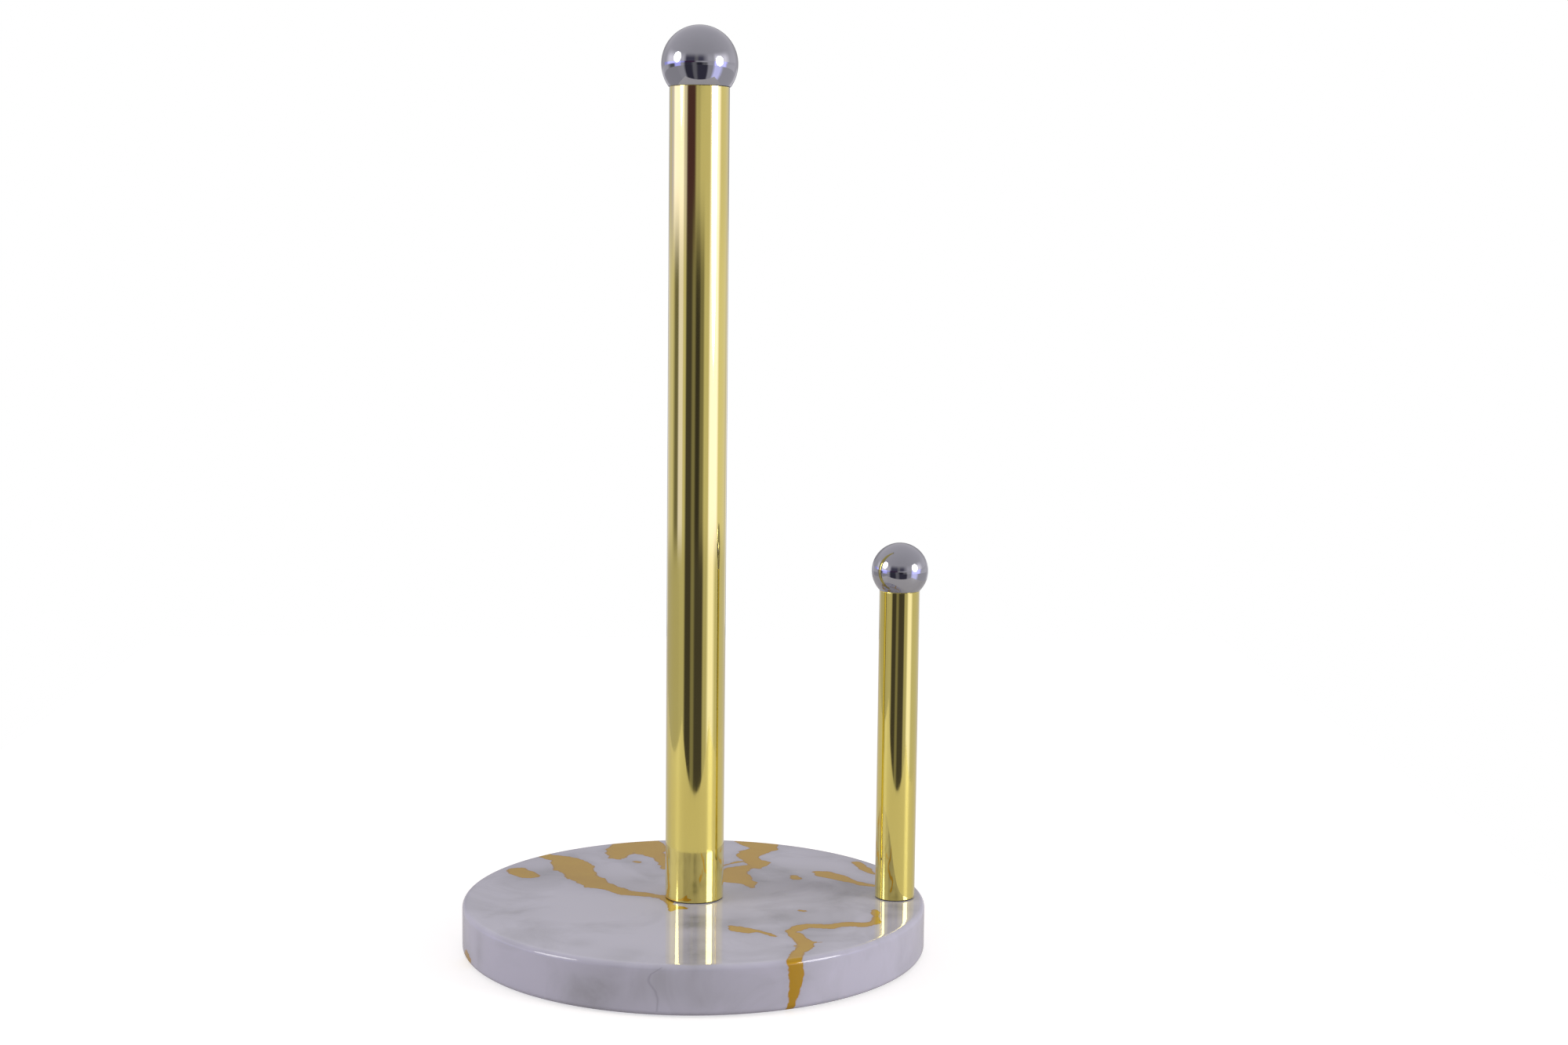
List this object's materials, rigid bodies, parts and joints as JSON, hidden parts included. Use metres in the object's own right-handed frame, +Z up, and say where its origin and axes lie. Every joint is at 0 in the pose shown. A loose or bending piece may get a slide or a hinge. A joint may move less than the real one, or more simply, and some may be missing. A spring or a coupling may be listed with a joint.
{
  "type": "paper towel holder",
  "caption": "Free-standing kitchen roll holder: round marble base, tall gold tube for the roll, short tube near the rim that stops it unwinding, and a screw-on chrome ball on each tube.",
  "frame": {"origin": "centre of the base, on the surface the feet stand on", "axes": "+Z up along the tall tube, +X from the tall tube towards the short tube"},
  "size_m": [0.174, 0.174, 0.3428],
  "materials": {
    "marble": "polished marble with soft grey clouds and gold veins under a clear gloss lacquer",
    "gold": "mirror-polished gold plating",
    "chrome": "mirror chrome plating",
    "zinc_steel": "bright zinc plating",
    "spring_steel": "oiled spring steel",
    "rubber": "matt black rubber"
  },
  "bodies": {
    "stand": {"base_disc": "marble", "base_feet": "rubber", "roll_post_gasket": "rubber", "roll_post_tube": "gold", "roll_post_foot_plug": "zinc_steel", "roll_post_screw": "zinc_steel", "roll_post_screw_washer": "zinc_steel", "roll_post_screw_lock_washer": "spring_steel", "roll_post_top_plug": "zinc_steel", "side_post_gasket": "rubber", "side_post_tube": "gold", "side_post_foot_plug": "zinc_steel", "side_post_screw": "zinc_steel", "side_post_screw_washer": "zinc_steel", "side_post_screw_lock_washer": "spring_steel", "side_post_top_plug": "zinc_steel"},
    "roll_post_washer": {"roll_post_ball_lock_washer": "spring_steel"},
    "roll_post_finial": {"roll_post_ball": "chrome", "roll_post_ball_stud": "zinc_steel"},
    "side_post_washer": {"side_post_ball_lock_washer": "spring_steel"},
    "side_post_finial": {"side_post_ball": "chrome", "side_post_ball_stud": "zinc_steel"}
  },
  "joints": [
    {"name": "roll_ball_turn", "type": "hinge", "parent": "stand", "child": "roll_post_washer", "pos_m": [0, 0, 0.3206], "axis": [0, 0, 1], "range_deg": [0, 2880]},
    {"name": "roll_ball_lift", "type": "slide", "parent": "roll_post_washer", "child": "roll_post_finial", "axis": [0, 0, 1], "range_m": [0, 0.01]},
    {"name": "side_ball_turn", "type": "hinge", "parent": "stand", "child": "side_post_washer", "pos_m": [0.076, 0, 0.1361], "axis": [0, 0, 1], "range_deg": [0, 2880]},
    {"name": "side_ball_lift", "type": "slide", "parent": "side_post_washer", "child": "side_post_finial", "axis": [0, 0, 1], "range_m": [0, 0.008]}
  ],
  "couplings": [
    {"joint": "roll_ball_turn", "follows": "roll_ball_lift", "rad_per_m": 5026.5},
    {"joint": "side_ball_turn", "follows": "side_ball_lift", "rad_per_m": 6283.2}
  ]
}
